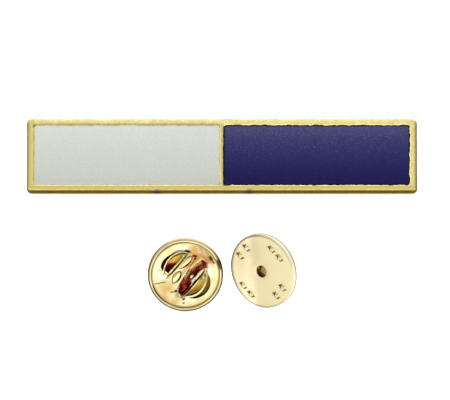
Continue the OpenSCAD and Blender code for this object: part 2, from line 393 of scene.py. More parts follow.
# Plate with two sunk cells, rounded corners and a rounded front edge
def strikePlate():
    bm = bmesh.new()
    size = Matrix.Diagonal((bar["length"], bar["height"], bar["thickness"], 1))
    bmesh.ops.create_cube(bm, size=1, matrix=Matrix.Translation((0, 0, bar["thickness"] / 2)) @ size)
    cutAt(bm, [(x, 0, 0) for cell in cells.values() for x in cell], (1, 0, 0))
    cutAt(bm, [(0, y, 0) for y in (cellY - cellHalf, cellY + cellHalf)], (0, 1, 0))
    for left, right in cells.values():
        sunk = [
            f for f in bm.faces if f.normal.z > 0.9 and left < f.calc_center_median().x < right
            and abs(f.calc_center_median().y - cellY) < cellHalf]
        bmesh.ops.inset_region(
            bm, faces=sunk, thickness=bar["wallSlope"], depth=-bar["cellDepth"], use_even_offset=True)
    top, floor = bar["thickness"], cellFloor
    corners = [
        e for e in bm.edges
        if sorted(round(v.co.z, 3) for v in e.verts) == [round(floor, 3), round(top, 3)]]
    bevelEdges(bm, corners, bar["cellCorner"], 4)
    outer = [
        e for e in bm.edges
        if abs(e.verts[0].co.z - e.verts[1].co.z) > 1 and abs(e.verts[0].co.x) > halfLength - 0.01
        and abs(e.verts[0].co.y) > halfHeight - 0.01]
    bevelEdges(bm, outer, bar["cornerRadius"], 5)
    rims = [e for e in bm.edges if isAt(e, top) and any(0.1 < f.normal.z < 0.98 for f in e.link_faces)]
    bevelEdges(bm, rims, bar["rimRadius"], 3)
    front = [e for e in bm.edges if isAt(e, top) and any(abs(f.normal.z) < 0.01 for f in e.link_faces)]
    bevelEdges(bm, front, bar["edgeRadius"], 6)
    back = [e for e in bm.edges if isAt(e, 0) and any(abs(f.normal.z) < 0.01 for f in e.link_faces)]
    bevelEdges(bm, back, bar["backRadius"], 1)
    return bm


# Distance from the nearest cell, negative inside it
def fromCells(x, y):
    gaps = [max(left - x, x - right, abs(y - cellY) - cellHalf) for left, right in cells.values()]
    return min(gaps)


# Dense cuts, then the small unevenness of a struck and hand-finished border
def wearPlate(bm):
    cutAt(bm, [(x, 0, 0) for x in steps(-halfLength, halfLength, bar["mesh"])], (1, 0, 0))
    cutAt(bm, [(0, y, 0) for y in steps(-halfHeight, halfHeight, bar["mesh"])], (0, 1, 0))
    for v in bm.verts:
        x, y, z = v.co
        raised = smoothStep(0.3, bar["thickness"], z)
        v.co.z -= raised * bar["sag"] * (0.5 + wave(x, y, bar["sagSize"], 3))
        # the inner edge of the border is ragged, most of all round the blue field
        near = bar["ragged"] * exp(-(fromCells(x, y) / 0.2) ** 2) * (1 if x > bar["dividerX"] else 0.4)
        for axis, seed in ((0, 5), (1, 9)):
            shift = bar["wander"] * wave(x, y, bar["wanderSize"], seed)
            shift += near * wave(x, y, bar["raggedSize"], seed + 50)
            v.co[axis] += raised * shift


# Each post has a flat washer of solder at its foot and a blunt tip
def addPosts(bm):
    radius = post["diameter"] / 2
    tipStart = -post["length"] + post["tip"]
    section = [
        (0, 0.1), (post["padRadius"], 0.1), (post["padRadius"], 0.0),
        (post["padRadius"] - 0.04, -0.08), (post["padRadius"] - 0.25, -0.15),
        (radius + 0.2, -post["padHeight"]), (radius + 0.06, -post["padHeight"] - 0.08),
        (radius, -post["padHeight"] - 0.25), (radius, tipStart), (radius - 0.04, tipStart - 0.15),
        (post["tipRadius"] + 0.05, -post["length"] + 0.12), (post["tipRadius"] * 0.7, -post["length"]),
        (0, -post["length"]),
    ]
    for side in (-1, 1):
        shaft = bmesh.new()
        spinSection(shaft, section, 32, False)
        addShape(bm, shaft, Matrix.Translation((side * post["spacing"] / 2, -bar["rise"], 0)))


# Painted shade: deeper gold at the lower border and the left end, dark flanks, dark cell corners and divider;
# and the spilt specks
def dullPlate(bm):
    names = ("deep", "edgeShade", "corner", "stain")
    deep, edgeShade, corner, stain = [bm.verts.layers.float.new(name) for name in names]
    white, blue = cells["white"], cells["blue"]
    for v in bm.verts:
        x, y, z = v.co
        ragged = 0.05 * wave(x, y, 0.5, 41)
        # painted shade: deeper gold towards the left end, a little at the right end, and on the lower border
        sides = max(0.55 * smoothStep(*bar["shadedEnds"], -x), 0.2 * smoothStep(*bar["shadedEnds"], x))
        v[deep] = max(0.9 * smoothStep(*bar["shadedLow"], y), sides)
        # painted shade: darker rounded flanks at the ends and along the lower and upper edges, and a darker
        # back
        ends = 1 - smoothStep(*bar["edgeShadeEnds"], halfLength - abs(x) - 0.03 * (x > 0) + ragged)
        low = 1 - smoothStep(*bar["edgeShadeLow"], halfHeight + y + ragged)
        top = 1 - smoothStep(*bar["edgeShadeTop"], halfHeight - y + ragged)
        v[edgeShade] = max(0.8 * ends, 0.9 * low, 0.75 * top) if z > 0.1 else 0.45
        # painted shade: dark lines along the inner edge of the border, strongest along the top of the white
        # field and beside the divider, and a darker divider
        inner = 1 - smoothStep(0.06, 0.24, fromCells(x, y) + ragged)
        share = 0.0
        if y > 0.9 * cellHalf:
            share = 0.75 if x < white[1] else 0.15
        elif bar["dividerX"] < x < blue[0] + 0.2:
            share = 1.0
        divider = 0.3 * (white[1] - 0.1 < x < blue[0] + 0.1) * (abs(y) < cellHalf)
        v[corner] = max(divider, share * inner) if z > 0.1 else 0
        specks = max(0.6 * exp(-((x - sx) / bar["stainWidth"]) ** 2) for sx in bar["stains"])
        v[stain] = specks if y < bar["stainHeight"] - halfHeight else 0


def makeBar():
    bm = strikePlate()
    wearPlate(bm)
    dullPlate(bm)
    addPosts(bm)
    return finishPiece("struckBar", bm, barPlace, struckBrass, "bar_frame")


makeBar()
print("struck bar with its posts")


# The two enamel fields, poured a little unevenly up the sloping walls of their cells

enamel = {
    "floorGap": 0.02, "wallGap": 0.012, "fill": 0.8, "creepSize": 0.9,
    "meniscus": 0.22, "mesh": 0.35, "swell": 0.02, "swellSize": 4.0,
}


# Slab on the cell floor whose upper rim rides on the sloping walls
def pourEnamel(left, right, seed, creep, creepLeft):
    bm = bmesh.new()
    slope, corner = bar["wallSlope"], bar["cellCorner"]
    inset = slope + enamel["wallGap"]
    halfX, halfY = (right - left) / 2 - inset, cellHalf - inset
    middle = (left + right) / 2
    bottom, level = cellFloor + enamel["floorGap"], cellFloor + enamel["fill"] * bar["cellDepth"]
    size = Matrix.Diagonal((2 * halfX, 2 * halfY, level - bottom, 1))
    bmesh.ops.create_cube(bm, size=1, matrix=Matrix.Translation((0, 0, (level + bottom) / 2)) @ size)
    upright = [e for e in bm.edges if abs(e.verts[0].co.z - e.verts[1].co.z) > 0.1]
    bevelEdges(bm, upright, corner, 5)
    near = [0.06, 0.14, 0.24]
    cutAt(bm, [(x, 0, 0) for x in steps(-halfX, halfX, enamel["mesh"])], (1, 0, 0))
    cutAt(bm, [(s * (halfX - d), 0, 0) for s in (-1, 1) for d in near], (1, 0, 0))
    cutAt(bm, [(0, y, 0) for y in steps(-halfY, halfY, enamel["mesh"])], (0, 1, 0))
    cutAt(bm, [(0, s * (halfY - d), 0) for s in (-1, 1) for d in near], (0, 1, 0))
    line = bm.verts.layers.float.new("rim")
    rim = {
        v for v in bm.verts
        if v.co.z > bottom + 0.1 and any(abs(f.normal.z) < 0.5 for f in v.link_faces)}
    moves = {}
    for v in bm.verts:
        if v.co.z < bottom + 0.1:
            continue
        x, y = v.co.x, v.co.y
        coreX = min(halfX - corner, max(corner - halfX, x))
        coreY = min(halfY - corner, max(corner - halfY, y))
        away = Vector((x, y, 0)) - Vector((coreX, coreY, 0))
        depth = min(halfX - abs(x), halfY - abs(y)) if away.length < 0.001 else corner - away.length
        # painted shade: darker towards the edge of the field
        v[line] = exp(-(max(0, depth) / 0.07) ** 2)
        climb = enamel["fill"] + creep * wave(x, y, enamel["creepSize"], seed)
        climb += creepLeft * smoothStep(-halfX + 1, -halfX, x) * smoothStep(halfY, -halfY, y)
        swell = enamel["swell"] * wave(x, y, enamel["swellSize"], seed + 20)
        rise = (climb - enamel["fill"]) * bar["cellDepth"] * exp(-max(0, depth) / enamel["meniscus"])
        out = away.normalized() if v in rim and away.length > 0.001 else Vector((0, 0, 0))
        moves[v] = out * slope * climb + Vector((0, 0, rise + swell * (0 if v in rim else 1)))
    for v, move in moves.items():
        v.co += move
    bm.transform(Matrix.Translation((middle, cellY, 0)))
    return bm


whiteField = pourEnamel(*cells["white"], 31, 0.15, 0)
blueField = pourEnamel(*cells["blue"], 57, 0.4, 0.3)
finishPiece("whiteField", whiteField, barPlace, whiteEnamelPaint, "white_enamel")
finishPiece("blueField", blueField, barPlace, blueEnamelPaint, "blue_enamel")
print("enamel fields")


# The clutches, each built round Z: front disc at height 0, wings above it

cap = {
    "radius": 5.75, "sheet": 0.3, "height": 1.35, "lipBottom": 1.0, "lipTop": 1.02, "lipRadius": 4.96,
    "hole": 0.9, "beadRadius": 0.3, "waist": 0.07, "steps": 144,
    # painted shade as a dark line round the outer edge: the height it starts at, its strength, and how much
    # weaker it is on one side
    "outlines": {
        "left": {"from": 1.0, "most": 0.9, "less": 0.63},
        "right": {"from": 0.84, "most": 0.75, "less": 0.0},
    },
    # the turn where the painted dark outline is weakest, and the turn and half width of a painted dark
    # reflection on the rim
    "outlineWeakAt": 125, "darkReflectionAt": 59, "darkReflectionHalf": 9,
}
nib = {
    "distance": 4.3, "start": 45, "pair": 24.5, "width": 1.0, "height": 0.36, "top": 0.16, "narrow": 0.85,
    "sink": 0.1, "bevel": 0.03,
    "earTurn": 42, "earAway": 0.42, "earRadius": 0.52, "earTaper": 0.8, "earDepth": 0.16,
}


# Section from the edge of the hole over the disc, the side, the rolled rim and the lip to the floor inside
def spinCap():
    r, sheet, bead = cap["radius"], cap["sheet"], cap["beadRadius"]
    section = [(cap["hole"], 0.22), (cap["hole"], 0.06), (cap["hole"] + 0.06, 0.0)]
    section += [(1.6, 0.0), (2.8, 0.0), (4.0, 0.0), (5.0, 0.0)]
    section += arc(r - 0.36, 0.36, 0.36, -90, 0, 5)
    section += [(r - cap["waist"], 0.62), (r - cap["waist"], 0.78)]
    section += arc(r - bead, cap["height"] - bead, bead, 0, 175, 12)
    section += [(r - 2 * bead - 0.02, cap["lipTop"] + 0.015), (r - 2 * bead - 0.07, cap["lipTop"])]
    section += [(cap["lipRadius"] + 0.01, cap["lipTop"]), (cap["lipRadius"], cap["lipBottom"])]
    section += [(r - bead - 0.15, cap["lipBottom"]), (r - bead, cap["lipBottom"] - 0.1)]
    section += [(r - bead, sheet + 0.15), (r - bead - 0.15, sheet)]
    rings = (4.4, 3.9, 3.6, 3.4, 3.2, 2.9, 2.6, 2.3, 2.0, 1.6, cap["hole"] + 0.08)
    section += [(ring, sheet) for ring in rings]
    bm = bmesh.new()
    spinSection(bm, section, cap["steps"], True)
    return bm


def nibPlaces():
    for quarter in range(4):
        for side in (-1, 1):
            turn = radians(nib["start"] + 90 * quarter + side * nib["pair"] / 2)
            yield Vector((nib["distance"] * cos(turn), nib["distance"] * sin(turn), 0))


# Each nib is pressed out of the disc between two small three-cornered pits
def pressNibs(bm):
    turn = Matrix.Rotation(radians(nib["earTurn"]), 4, "Z")
    pits = bmesh.new()
    for place in nibPlaces():
        for side in (0, pi):
            at = Matrix.Translation(place) @ turn @ Matrix.Rotation(side, 4, "Z")
            bmesh.ops.create_cone(
                pits, cap_ends=True, segments=3, radius1=nib["earRadius"],
                radius2=nib["earRadius"] * nib["earTaper"], depth=2 * nib["earDepth"],
                matrix=at @ Matrix.Translation((nib["earAway"], 0, 0)))
    # painted shade: the faces of the pits take the dark pit material
    for f in pits.faces:
        f.material_index = 1
    bm = cutAway(bm, pits)
    for place in nibPlaces():
        at = Matrix.Translation(place + Vector((0, 0, (nib["sink"] - nib["height"]) / 2))) @ turn
        slim = Matrix.Diagonal((nib["narrow"], 1, 1, 1)) @ Matrix.Rotation(radians(45), 4, "Z")
        made = bmesh.ops.create_cone(
            bm, cap_ends=True, segments=4, radius1=nib["top"] / sqrt(2), radius2=nib["width"] / sqrt(2),
            depth=nib["height"] + nib["sink"], matrix=at @ slim)
        edges = list({e for v in made["verts"] for e in v.link_edges})
        bevelEdges(bm, edges, nib["bevel"], 1)
    return bm


# Exact boolean cut of one bmesh by another
def cutAway(bm, cutter):
    meshes = [bpy.data.meshes.new(name) for name in ("whole", "cutter")]
    for mesh, source in zip(meshes, (bm, cutter)):
        bmesh.ops.recalc_face_normals(source, faces=source.faces[:])
        source.to_mesh(mesh)
        source.free()
        for colour in ("first", "second"):
            mesh.materials.append(bpy.data.materials.get(colour) or bpy.data.materials.new(colour))
    things = [bpy.data.objects.new(mesh.name, mesh) for mesh in meshes]
    for thing in things:
        bpy.context.scene.collection.objects.link(thing)
    cut = things[0].modifiers.new("cut", "BOOLEAN")
    cut.operation, cut.solver, cut.object = "DIFFERENCE", "EXACT", things[1]
    shaped = things[0].evaluated_get(bpy.context.evaluated_depsgraph_get())
    made = bmesh.new()
    made.from_mesh(shaped.to_mesh())
    shaped.to_mesh_clear()
    for thing in things:
        bpy.data.objects.remove(thing)
    for mesh in meshes:
        bpy.data.meshes.remove(mesh)
    return made


# Painted shade on a cap: dark lines along the rim's outer and front edges, in the crease under the lip and in
# the crescent outside each wing, a painted dark reflection on the rim, tan painted as shade on one side of
# the disc, thin gold on the floor, and red-brown tarnish with painted shade in one eye
def shadeAndDirtyCap(bm, outline):
    dirtAndShade, thinGiltAndShade, tarnishAndShade = [bm.verts.layers.float.new(name) for name in ("dirtAndShade", "tan", "tarnishAndShade")]
    radius = cap["radius"]
    for v in bm.verts:
        x, y, z = v.co
        r = sqrt(x * x + y * y)
        turn = atan2(y, x)
        # painted shade: a dark line round the outer edge of the rim, weaker on one side, and one along the
        # front edge
        back = smoothStep(outline["from"], outline["from"] + 0.14, z)
        back *= smoothStep(radius - 0.4, radius - 0.2, r)
        back *= outline["most"] - outline["less"] * smoothStep(0.2, 1.0, cos(turn - radians(cap["outlineWeakAt"])))
        start = radius - 0.33 - 0.12 * x / r
        front = (z < 0.25) * smoothStep(start, start + 0.12, r) * (0.6 + 0.4 * x / r)
        # painted shade: dark in the crease under the lip and in the crescent outside each wing
        creaseShade = (r < radius - 2 * cap["beadRadius"] + 0.01) * (z > cap["lipBottom"] - 0.01)
        inside = (r < radius - 0.25) * (0.2 < z < 0.99)
        crescentShade = smoothStep(3.4, 3.6, r) * inside * (1 if x < 0 else 0.84)
        low = smoothStep(0.1, -0.1, y - 0.9 * (x + 2.7))
        end = exp(-(((x + 2.1) / 0.5) ** 2 + ((y - 2.3) / 0.4) ** 2))
        # a painted dark reflection on the rim
        darkReflection = exp(-((turn - radians(cap["darkReflectionAt"])) / radians(cap["darkReflectionHalf"])) ** 4)
        darkReflection *= (z > 0.6) * smoothStep(5.2, 5.35, r)
        # painted shade: tan darkens one side of the disc; thin gold on one half of the floor inside
        v[thinGiltAndShade] = max((z < 0.1) * smoothStep(2.4, 0.7, x), 0.4 * inside * (x < 0))
        # red-brown tarnish with painted shade low in one eye, and the painted dark reflection
        v[tarnishAndShade] = max(max(low, end) * (x < 0) * inside, darkReflection)
        v[dirtAndShade] = max(back, 0.9 * front, 0.5 * creaseShade, crescentShade, 0.8 * darkReflection)


# The disc and the side are satin, and the inside is bare
def makeClutchCap(name, place, node, outline):
    bm = pressNibs(spinCap())
    shadeAndDirtyCap(bm, outline)
    for f in bm.faces:
        c = f.calc_center_median()
        r = c.xy.length
        inside = cap["sheet"] - 0.02 < c.z < cap["lipBottom"] - 0.02 and r < cap["radius"] - 0.28
        disc = f.normal.z < -0.98 and r < 5.5 and c.z < 0.1
        side = c.z < 0.25 and r > 5.35 or c.z < 1.0 and r > 5.5
        if f.material_index == 0 and (disc or side):
            f.material_index = 2
        elif f.material_index == 0 and inside:
            f.material_index = 3
    piece = finishPiece(name, bm, place, polishedGilt, node, sharp=50)
    for material in (pitShade, satinGilt, insideGilt):
        piece.data.materials.append(material)


# The spring plate held under the lip: two jaws with pressed bulges, and two wings bent up from it

spring = {
    "sheet": 0.25, "radius": 5.03, "top": 1.0, "mesh": 0.09,
    # the wings; a pair is for the right (1) and the left (-1) wing, each in its own frame
    "wallX": 1.87, "innerSheet": 0.16, "outerSheet": {1: 0.27, -1: 0.17}, "footRadius": 3.45,
    "wingTop": 2.6, "skew": 0.35, "wallSink": 0.12, "wallTurn": 58, "wallBevel": 0.05,
    "flares": {1: -0.2, -1: 0.5}, "slides": {1: 0.0, -1: -0.7}, "archHalf": {1: 2.95, -1: 2.65},
    "shoulder": 0.4, "ramp": {1: 0.5, -1: 0.0}, "rampHeight": 0.26,
    # ends of the crescent outside a wing and of the eye inside it
    "crescents": {1: (-2.7, 2.3), -1: (-3.4, 1.7)}, "eyes": {1: (-1.95, 1.5), -1: (-2.1, 1.4)},
    # each crescent's width in its middle, and how blunt its two ends are
    "crescentWidth": {1: 0.82, -1: 0.62}, "points": {1: (0.6, 0.6), -1: (1.1, 0.3)},
    # the slit between the jaws, its eye and its round ends, and how far it is turned
    "slant": 10, "slit": 0.03, "slitHalf": 3.16, "eye": 0.09, "notch": 0.2,
    "bulgeHeight": 0.42, "dish": 0.14, "dome": 0.15,
    # middle, length, width and turn of the bulges of one jaw
    "bulges": [(-1.25, 1.55, 2.9, 1.1, -6), (-0.8, -1.15, 2.4, 1.2, 8)],
}
archRise = spring["wingTop"] - spring["top"]
archRadius = {
    side: (half ** 2 + archRise ** 2) / (2 * archRise) for side, half in spring["archHalf"].items()}


# The top edge of a wing follows an arch, which sits a little off the middle of its wall
def archTop(y, side):
    along, radius = y + spring["skew"], archRadius[side]
    return max(spring["top"] - 0.1, spring["wingTop"] - radius + sqrt(max(0, radius ** 2 - along * along)))


# Outer edge of the pointed crescent beside a wing, as a radius
def crescentEdge(y, side):
    low, high = spring["crescents"][side]
    a, b = spring["points"][side]
    t, peak = min(1, max(0, (side * y - low) / (high - low))), a / (a + b)
    bow = (t / peak) ** a * ((1 - t) / (1 - peak)) ** b
    return spring["footRadius"] + spring["crescentWidth"][side] * bow


# Half width of the slit along its length, with the eye in its middle and a round end at each side
def slitWidthAt(s):
    width = spring["slit"] / 2
    if abs(s) < spring["eye"]:
        width = max(width, sqrt(spring["eye"] ** 2 - s * s))
    fromEnd = abs(abs(s) - spring["slitHalf"] + spring["notch"])
    if fromEnd < spring["notch"]:
        width = sqrt(spring["notch"] ** 2 - fromEnd ** 2)
        if abs(s) < spring["slitHalf"] - spring["notch"]:
            width = max(width, spring["slit"] / 2)
    return width


# Height of one lens-shaped bulge at a point
def bulgeAt(x, y, middleX, middleY, length, width, turn):
    c, s = cos(radians(turn)), sin(radians(turn))
    dx, dy = x - middleX, y - middleY
    across, along, half = c * dx + s * dy, c * dy - s * dx, width / 2
    curve = (length * length / 4 + half * half) / (2 * half)
    reach = sqrt(max(0, curve ** 2 - along * along)) - (curve - half)
    if reach <= 0 or abs(across) >= reach:
        return 0
    return spring["bulgeHeight"] * (reach / half) ** 0.6 * (1 - (across / reach) ** 2) ** 0.75


# Height of the pressed plate above its flat level
def plateRelief(x, y):
    lift = max(bulgeAt(turn * x, turn * y, *bulge) for turn in (-1, 1) for bulge in spring["bulges"])
    far = (x / 1.6) ** 2 + ((abs(y) - 3.3) / 0.9) ** 2  # a shallow dish at each end of the slit
    # raised shoulders between the two walls of a wing, past the ends of its eye
    side = 1 if x > 0 else -1
    low, high = spring["eyes"][side]
    between = smoothStep(1.75, 2.1, abs(x)) * smoothStep(3.5, 3.2, sqrt(x * x + y * y))
    over = smoothStep(high + 0.7, high, side * y) * smoothStep(low - 0.7, low, side * y)
    # the ledge outside the wings slopes away, so that it doesn't mirror them
    ledge = spring["dome"] * max(0, sqrt(x * x + y * y) - spring["footRadius"])
    ledge *= smoothStep(0.0, 0.8, cos(atan2(y, x) - radians(130)))
    return lift - spring["dish"] * exp(-far) + spring["shoulder"] * between * over - ledge


# Grid with the slit opened in it, cut to the round outline with its crescents and eyes, then pressed
def pressPlate():
    bm = bmesh.new()
    size, slit, end = spring["radius"], spring["slit"] / 2, spring["slitHalf"]
    count = round(2 * size / spring["mesh"])
    bmesh.ops.create_grid(bm, x_segments=count, y_segments=count, size=size)
    cutAt(bm, [(x, 0, 0) for x in (-slit, slit)], (1, 0, 0))
    rows = [0, 0.05, 0.09, 0.12, 0.15, end - 0.42, end - 0.36, end - 0.28, end - 0.2]
    rows += [end - 0.12, end - 0.05, end - 0.02, end]
    cutAt(bm, [(0, side * y, 0) for y in rows for side in (-1, 1)], (0, 1, 0))
    hole = [
        f for f in bm.faces
        if abs(f.calc_center_median().x) < slit and abs(f.calc_center_median().y) < end]
    bmesh.ops.delete(bm, geom=hole, context="FACES")
    for v in bm.verts:
        more = slitWidthAt(v.co.y) - slit if abs(v.co.y) < end + 0.001 else 0
        near = 1 - smoothStep(slit, 0.6, abs(v.co.x))
        v.co.x += (1 if v.co.x > 0 else -1) * more * near
    bm.transform(Matrix.Rotation(radians(spring["slant"]), 4, "Z"))
    wall = spring["wallX"] + spring["sheet"] / 2
    ends = [side * y for side in (-1, 1) for y in spring["crescents"][side] + spring["eyes"][side]]
    cutAt(bm, [(side * wall, 0, 0) for side in (-1, 1)], (1, 0, 0))
    cutAt(bm, [(0, y, 0) for y in ends], (0, 1, 0))
    between = spring["footRadius"] - spring["sheet"] / 2
    gone = []
    for f in bm.faces:
        c = f.calc_center_median()
        side = 1 if c.x > 0 else -1
        inner = c.length < between
        low, high = spring["eyes" if inner else "crescents"][side]
        window = side * c.x > wall and low < side * c.y < high
        if window and (inner or c.length < crescentEdge(c.y, side)) or c.length > size - 0.05:
            gone.append(f)
    bmesh.ops.delete(bm, geom=gone, context="FACES")
    for v in bm.verts:
        reach, crescent = v.co.length, crescentEdge(v.co.y, 1 if v.co.x > 0 else -1)
        if v.is_boundary and abs(reach - crescent) < spring["mesh"] and reach > between + 0.1:
            v.co *= crescent / reach
        elif v.is_boundary and reach > size - 2 * spring["mesh"]:
            v.co *= size / reach
        v.co.z = spring["top"] + plateRelief(v.co.x, v.co.y)
    return withModifiers(bm, ("SOLIDIFY", {"thickness": spring["sheet"], "offset": -1.0}))


wallEdges = {
    "width": spring["wallBevel"], "segments": 2, "limit_method": "ANGLE", "angle_limit": radians(50)}


# Straight inner wall of a wing, which may rise from the plate in a short ramp
def bendInnerWall(side):
    bm = bmesh.new()
    bmesh.ops.create_grid(bm, x_segments=48, y_segments=14, size=1)
    foot = spring["wallX"] - spring["sheet"] / 2
    for v in bm.verts:
        y, up = v.co.x * spring["archHalf"][side] - spring["skew"], ((v.co.y + 1) / 2) ** 1.5
        low = spring["top"] - spring["wallSink"]
        z = low + (archTop(y, side) - low) * up
        left = 1 - min(1, max(0, (z - spring["top"]) / spring["rampHeight"]))
        v.co = Vector((foot - spring["ramp"][side] * left, y, z))
    return withModifiers(
        bm, ("SOLIDIFY", {"thickness": spring["innerSheet"], "offset": 1.0}), ("BEVEL", wallEdges))


# Curved outer wall of a wing, flared and pushed along a little towards its top
def bendOuterWall(side):
    bm = bmesh.new()
    bmesh.ops.create_grid(bm, x_segments=56, y_segments=10, size=1)
    low = spring["top"] - spring["sheet"]
    middle = -asin(spring["skew"] / spring["footRadius"])
    for v in bm.verts:
        turn = middle + v.co.x * radians(spring["wallTurn"])
        z = low
        for trial in range(3):  # the flare and the arch depend on each other
            up = (z - low) / (spring["wingTop"] - low)
            r = spring["footRadius"] - spring["sheet"] / 2 + spring["flares"][side] * up
            z = low + (archTop(r * sin(turn), side) - low) * (v.co.y + 1) / 2
        v.co = Vector((r * cos(turn), r * sin(turn) + spring["slides"][side] * up, z))
    return withModifiers(
        bm, ("SOLIDIFY", {"thickness": spring["outerSheet"][side], "offset": 0.0}), ("BEVEL", wallEdges))


# How far a point lies inside a polygon, negative outside
def insideBy(x, y, polygon):
    point, nearest, odd = Vector((x, y)), 99.0, False
    for a, b in zip(polygon, polygon[1:] + polygon[:1]):
        a, line = Vector(a), Vector(b) - Vector(a)
        t = min(1, max(0, (point - a).dot(line) / line.length_squared))
        nearest = min(nearest, (point - a - line * t).length)
        if (a.y > y) != (a.y + line.y > y) and x < a.x + line.x * (y - a.y) / line.y:
            odd = not odd
    return nearest if odd else -nearest


# Red-brown tarnish with painted shade: the outline of the hollow beside one wing, and the thin gold streaks
# in it
hollow = [
    (0.4, 3.5), (0.12, 2.4), (-0.24, 0.7), (0.22, -1.8), (0.8, -2.75), (1.5, -3.0), (2.0, -2.3),
    (1.7, -1.6), (1.6, -0.5), (1.3, -0.1), (1.24, 1.7), (1.6, 2.7), (2.2, 3.2), (1.3, 3.6),
]
streaks = [
    (-0.05, 0.9), (0.05, 2.4), (0.5, 3.2), (0.75, 2.9), (0.4, 2.0), (0.3, 0.6), (0.35, -0.6), (0.1, -0.4),
]
# Dark marks on the plate and painted highlights, each as two ends, a width and a strength
marks = [
    (2.2, -3.2, 2.32, -3.04, 0.17, 1.0), (2.64, -3.72, 2.7, -3.5, 0.09, 1.0),
    (-2.4, 3.0, -1.9, 3.2, 0.2, 1.0), (-1.0, 3.1, -0.65, 3.25, 0.2, 1.0),
    (1.15, 4.5, 1.45, 4.38, 0.3, 0.95), (1.4, 4.4, 2.15, 4.2, 0.13, 0.9),
    (-2.6, -4.05, -1.65, -2.9, 0.1, 0.8), (0.1, -3.6, 0.75, -2.8, 0.12, 0.75),
    (0.75, -2.8, 1.2, -3.5, 0.26, 0.4), (-2.9, -1.5, -3.6, -2.1, 0.06, 0.6),
    (-0.9, 4.6, 0.2, 4.0, 0.25, 0.25), (-0.3, 3.9, 1.2, 3.8, 0.2, 0.25),
]
# painted highlights: white where the mirror plate shows glints
paintedHighlights = [
    (-2.8, -2.7, -2.1, -1.9, 0.4, 0.5), (2.6, -2.75, 3.5, -2.3, 0.36, 0.4),
    (1.9, 3.4, 2.9, 2.5, 0.34, 0.4), (-3.6, -2.7, -4.5, -1.0, 0.3, 0.16),
    (-3.6, 2.1, -2.6, 3.2, 0.26, 0.3), (0.3, 4.3, -1.4, 4.5, 0.3, 0.12),
    (-1.15, 0.7, -1.1, 1.4, 0.4, 0.12),
]


# How strongly a point lies in the nearest of some marks
def markAt(x, y, places):
    found = [0]
    for ax, ay, bx, by, width, strength in places:
        line, point = Vector((bx - ax, by - ay)), Vector((x - ax, y - ay))
        t = min(1, max(0, point.dot(line) / line.length_squared))
        off = (point - line * t).length + 0.04 * wave(x, y, 0.25, 4)
        found.append(strength * exp(-(max(0, off) / width) ** 3))
    return max(found)


# Each mask from here to the black one below takes a point of the plate and gives 0 to 1
def paintedHighlightAt(x, y, z):
    return markAt(x, y, paintedHighlights)


# Red-brown tarnish with painted shade in the hollow beside a wing and low on the wall that faces it
def tarnishAndShadeAt(x, y, z):
    low = 1 - smoothStep(1.75, 1.95, z)
    wall = 0.65 * (1.2 < x < 2.1) * smoothStep(-0.5, -1.0, y) * (z > 1.2)  # the wing that faces the hollow
    edge = insideBy(x, y, hollow) + 0.06 * wave(x, y, 0.4, 12)
    gold = smoothStep(-0.1, 0.14, insideBy(x, y, streaks)) * (0.75 + 0.6 * wave(4 * x, y, 0.7, 3))
    spot = exp(-(((x - 0.93) / 0.26) ** 2 + ((y - 0.42) / 0.38) ** 2) ** 2)  # one clean spot
    return max(wall, low * smoothStep(-0.04, 0.08, edge) * (1 - 0.85 * gold) * (1 - spot))


# Tan thin gilding on the flat of the plate and on the gold streaks. A pale line runs beside the hollow.
def tanAt(x, y, z):
    flat = 1 - smoothStep(spring["top"] - 0.02, spring["top"] + 0.12, z)
    middle = exp(-(x / 2.3) ** 6)
    cloud = 0.3 * wave(x, y, 1.1, 8)
    ends = 0.65 * smoothStep(-0.5, 3.2, y) + 0.25 * smoothStep(-2.2, -3.4, y)
    strip = 0.5 * exp(-((x + 0.5) / 0.35) ** 2) * smoothStep(-2.5, -0.5, y) * smoothStep(4.0, 3.2, y)
    away = insideBy(x, y, hollow)
    pale = max(smoothStep(-0.08, -0.16, away), smoothStep(0.3, 0.6, x))
    gold = 0.9 * smoothStep(-0.1, 0.1, insideBy(x, y, streaks))
    return max(flat * middle * (0.2 + ends + strip + cloud) * pale, gold)


# Painted shade: black along the foot of the wall beside the hollow and along the slit; and the dark marks
def dirtAndShadeAt(x, y, z):
    wall = spring["wallX"] - spring["sheet"] / 2
    foot = (abs(x - wall) < 0.07) * smoothStep(-0.6, -0.3, y) * smoothStep(2.7, 2.4, y)
    foot *= smoothStep(1.05, 1.2, z) * smoothStep(2.4, 2.2, z)
    a = radians(spring["slant"])
    slit = 0.8 * (abs(x * cos(a) + y * sin(a)) < 0.05) * (abs(y) < spring["slitHalf"])
    return max(foot, slit, (z < 1.35) * markAt(x, y, marks))


# The part of the underside that shows through the hole of the disc, browned, with a faint painted highlight
underside = {"height": 0.9, "reach": 1.7, "tan": 1.0, "dirtAndShade": 0.0, "paintedHighlight": 0.08}


def isUnderside(point):
    return point.z < underside["height"] and point.xy.length < underside["reach"]


# The tarnish, tan, dark marks, painted shade and painted highlights lie on one half of the plate, which side
# tells, and the other half stays bright.
# The underside is browned.
def stain(bm, side):
    masks = {"tarnishAndShade": tarnishAndShadeAt, "tan": tanAt, "dirtAndShade": dirtAndShadeAt, "paintedHighlight": paintedHighlightAt}
    layers = {name: bm.verts.layers.float.new(name) for name in masks}
    for v in bm.verts:
        x, y, z = v.co
        for name, layer in layers.items():
            if not isUnderside(v.co):
                v[layer] = masks[name](side * x, side * y, z)
            elif name == "tarnishAndShade":
                v[layer] = 0.2 * smoothStep(0.9, 0.4, x) + 0.15 * wave(x, y, 0.4, 5)
            else:
                v[layer] = underside[name]


